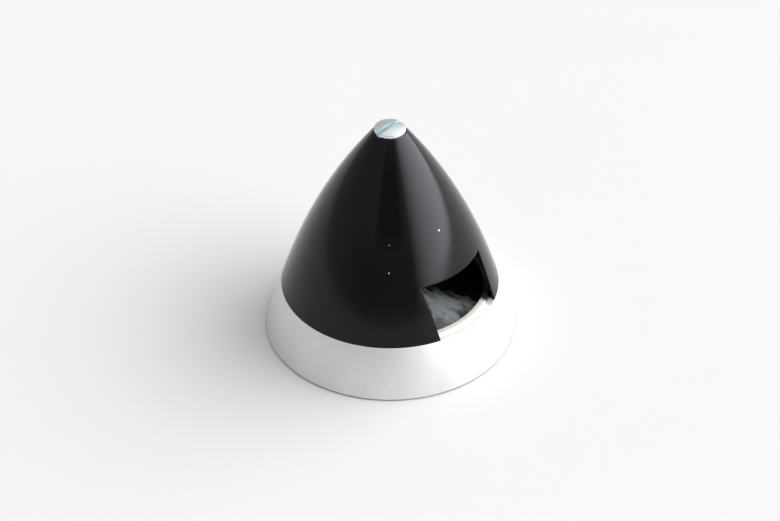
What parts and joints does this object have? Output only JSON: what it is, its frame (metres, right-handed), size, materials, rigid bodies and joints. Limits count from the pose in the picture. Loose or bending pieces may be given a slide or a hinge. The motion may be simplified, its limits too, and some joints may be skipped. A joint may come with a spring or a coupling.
{
  "type": "propeller spinner",
  "caption": "Two-blade propeller spinner: black ogive nose cone with blade cut-outs on a flared aluminium backplate, held by a slotted nose screw, with a collet clamp for the motor shaft.",
  "frame": {"origin": "centre of the rear rim of the backplate, on the spin axis", "axes": "+Z along the spin axis towards the nose; the blades leave through the cut-outs along +X and -X"},
  "size_m": [0.0598, 0.0598, 0.0555],
  "materials": {
    "black_anodised": "high gloss black",
    "turned_aluminium": "fine turned",
    "zinc_plated_screw": "bright zinc plated",
    "hub_aluminium": "turned",
    "stud_steel": "turned and ground",
    "ring_brass": "turned",
    "washer_steel": "zinc plated",
    "spring_steel": "dark tempered",
    "nut_steel": "zinc plated"
  },
  "bodies": {
    "root": {"nose_cone": "black_anodised", "nose_screw": "zinc_plated_screw", "backplate": "turned_aluminium", "drive_hub": "hub_aluminium", "collet_stud": "stud_steel", "centring_ring": "ring_brass", "prop_washer": "washer_steel", "spring_washer": "spring_steel", "prop_nut": "nut_steel"}
  },
  "joints": []
}
